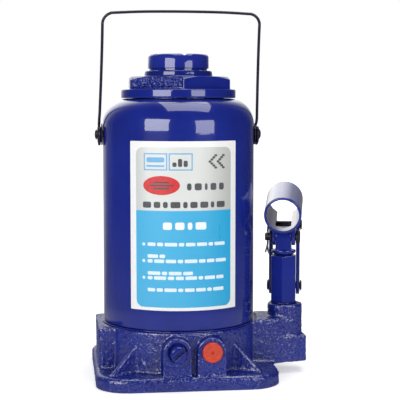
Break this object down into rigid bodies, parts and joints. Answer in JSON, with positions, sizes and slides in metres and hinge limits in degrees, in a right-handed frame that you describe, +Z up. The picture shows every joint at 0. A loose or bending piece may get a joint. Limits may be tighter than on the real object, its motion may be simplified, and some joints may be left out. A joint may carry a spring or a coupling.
{
  "type": "bottle jack",
  "caption": "hydraulic bottle jack: a cast foot with valves and hand pump, a round oil tank, a lifting ram with an extension screw, a lever socket and a wire carrying bail",
  "frame": {"origin": "the foot's underside, on the ram's axis", "axes": "+Z up along the ram, +X to the hand pump, -Y to the front with the valves and the label"},
  "size_m": [0.1561, 0.1362, 0.2596],
  "materials": {
    "enamel_blue": "glossy royal blue enamel",
    "cast_blue": "glossy blue enamel over rough cast iron",
    "steel": "ground",
    "chrome_steel": "ground and hard chromed",
    "black_steel": "black oxide, satin",
    "copper": "annealed copper",
    "rubber": "matte nitrile rubber",
    "red_plastic": "orange-red moulded plastic",
    "label_film": "printed film"
  },
  "bodies": {
    "jack_body": {"base_casting": "cast_blue", "reservoir_tank": "enamel_blue", "cap_nut": "enamel_blue", "label_plate": "label_film", "tank_gasket": "rubber", "top_gasket": "rubber", "hydraulic_cylinder": "steel", "cylinder_gasket": "copper", "gland_seal": "rubber", "wiper_seal": "rubber", "suction_strainer": "copper", "bail_pivot_left": "black_steel", "bail_pivot_right": "black_steel", "bail_boss_left": "black_steel", "bail_boss_right": "black_steel", "release_valve_packing": "rubber", "safety_valve_ball": "steel", "safety_valve_spring": "steel", "safety_valve_screw": "black_steel", "safety_valve_cap": "red_plastic", "pump_body": "enamel_blue", "pump_washer": "copper", "pump_wiper": "rubber", "passage_plug": "black_steel", "link_lower_pin": "black_steel"},
    "ram": {"ram": "chrome_steel", "piston_cup_seal": "rubber", "piston_nut": "black_steel"},
    "screw_carriage": {"screw_stop_ring": "black_steel"},
    "saddle_screw": {"extension_screw": "enamel_blue"},
    "bail": {"bail_handle": "black_steel"},
    "filler": {"filler_plug": "rubber"},
    "release_carriage": {"release_valve_ball": "steel"},
    "release_knob": {"release_valve_screw": "enamel_blue"},
    "inlet_check": {"inlet_ball": "steel"},
    "outlet_check": {"outlet_ball": "steel"},
    "link": {"link_plate_left": "enamel_blue", "link_plate_right": "enamel_blue"},
    "socket": {"handle_socket": "enamel_blue", "plunger_pin": "black_steel", "pin_washer": "black_steel", "socket_link_pin": "black_steel", "cotter_pin": "black_steel"},
    "plunger": {"pump_plunger": "enamel_blue", "plunger_seal": "rubber"}
  },
  "joints": [
    {"name": "ram_lift", "type": "slide", "parent": "jack_body", "child": "ram", "axis": [0, 0, 1], "range_m": [0, 0.145]},
    {"name": "screw_rise", "type": "slide", "parent": "ram", "child": "screw_carriage", "axis": [0, 0, 1], "range_m": [0, 0.0805]},
    {"name": "screw_turn", "type": "hinge", "parent": "screw_carriage", "child": "saddle_screw", "pos_m": [0, 0, 0.2185], "axis": [0, 0, 1], "range_deg": [0, 4800]},
    {"name": "bail_swing", "type": "hinge", "parent": "jack_body", "child": "bail", "pos_m": [0, 0, 0.173], "axis": [1, 0, 0], "range_deg": [-155, 120]},
    {"name": "filler_pull", "type": "slide", "parent": "jack_body", "child": "filler", "axis": [0, 1, 0], "range_m": [0, 0.014]},
    {"name": "release_travel", "type": "slide", "parent": "jack_body", "child": "release_carriage", "axis": [0, -1, 0], "range_m": [0, 0.003]},
    {"name": "release_turn", "type": "hinge", "parent": "release_carriage", "child": "release_knob", "pos_m": [-0.0073, -0.064, 0.0266], "axis": [0, -1, 0], "range_deg": [0, 719]},
    {"name": "inlet_check_lift", "type": "slide", "parent": "jack_body", "child": "inlet_check", "axis": [0, 0, 1], "range_m": [0, 0.001]},
    {"name": "outlet_check_lift", "type": "slide", "parent": "jack_body", "child": "outlet_check", "axis": [0, 0, 1], "range_m": [0, 0.001]},
    {"name": "link_rock", "type": "hinge", "parent": "jack_body", "child": "link", "pos_m": [0.08017, 0.00853, 0.06], "axis": [-0.9724, 0.2334, 0], "range_deg": [0, 0.85]},
    {"name": "handle_pump", "type": "hinge", "parent": "link", "child": "socket", "pos_m": [0.08017, 0.00853, 0.1055], "axis": [-0.9724, 0.2334, 0], "range_deg": [0, 40]},
    {"name": "plunger_stroke", "type": "slide", "parent": "jack_body", "child": "plunger", "axis": [0, 0, 1], "range_m": [0, 0.0127]}
  ],
  "couplings": [
    {"joint": "screw_rise", "follows": "screw_turn", "m_per_rad": 0.00095493},
    {"joint": "release_travel", "follows": "release_turn", "m_per_rad": 0.00023873},
    {"joint": "link_rock", "follows": "handle_pump", "ratio": 0.0205},
    {"joint": "plunger_stroke", "follows": "handle_pump", "m_per_rad": 0.01805}
  ]
}
